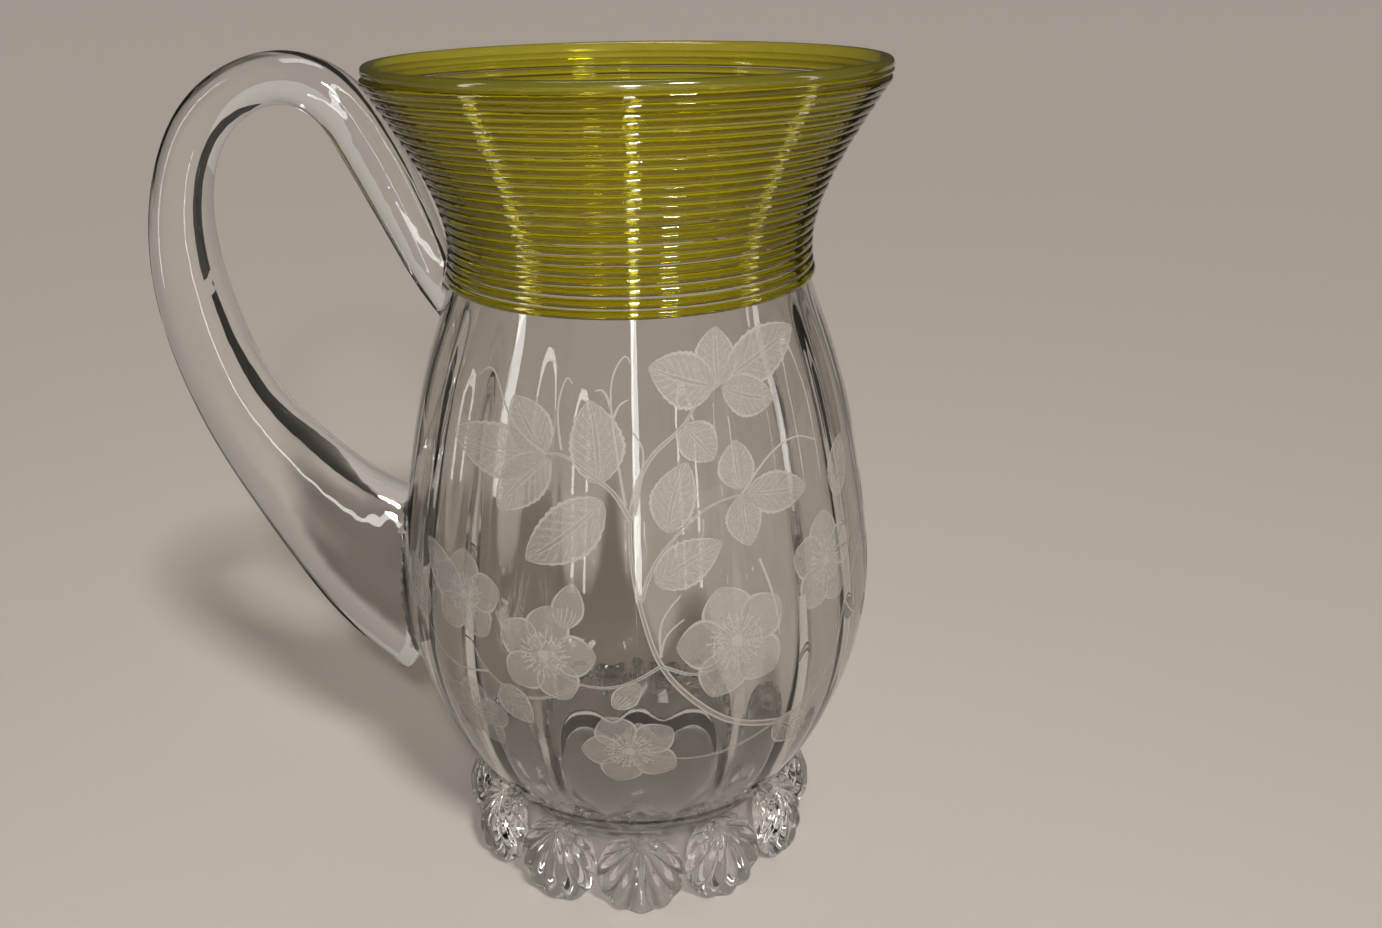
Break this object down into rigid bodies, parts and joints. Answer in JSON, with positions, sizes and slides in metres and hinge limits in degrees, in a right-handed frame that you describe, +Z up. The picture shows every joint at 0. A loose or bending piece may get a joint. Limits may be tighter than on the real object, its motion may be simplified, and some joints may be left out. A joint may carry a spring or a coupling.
{
  "type": "glass pitcher",
  "caption": "Footed clear glass pitcher with a thread-wound flared collar, an applied loop handle and a ring of ribbed shell feet.",
  "frame": {"origin": "on the vessel's axis at the table, where the feet rest", "axes": "+Z up along the vessel's axis, +X towards the side opposite the handle, so the handle is on -X and the engraved front faces -Y"},
  "size_m": [0.1763, 0.122, 0.2096],
  "materials": {
    "clear_glass": "polished clear glass with a frosted engraved spray",
    "thread_glass": "polished yellow-green glass",
    "handle_glass": "polished clear glass",
    "foot_glass": "pressed clear glass"
  },
  "bodies": {
    "root": {"vessel": "clear_glass", "collar_thread": "thread_glass", "handle": "handle_glass", "shell_foot_01": "foot_glass", "shell_foot_02": "foot_glass", "shell_foot_03": "foot_glass", "shell_foot_04": "foot_glass", "shell_foot_05": "foot_glass", "shell_foot_06": "foot_glass", "shell_foot_07": "foot_glass", "shell_foot_08": "foot_glass", "shell_foot_09": "foot_glass", "shell_foot_10": "foot_glass", "shell_foot_11": "foot_glass", "shell_foot_12": "foot_glass"}
  },
  "joints": []
}
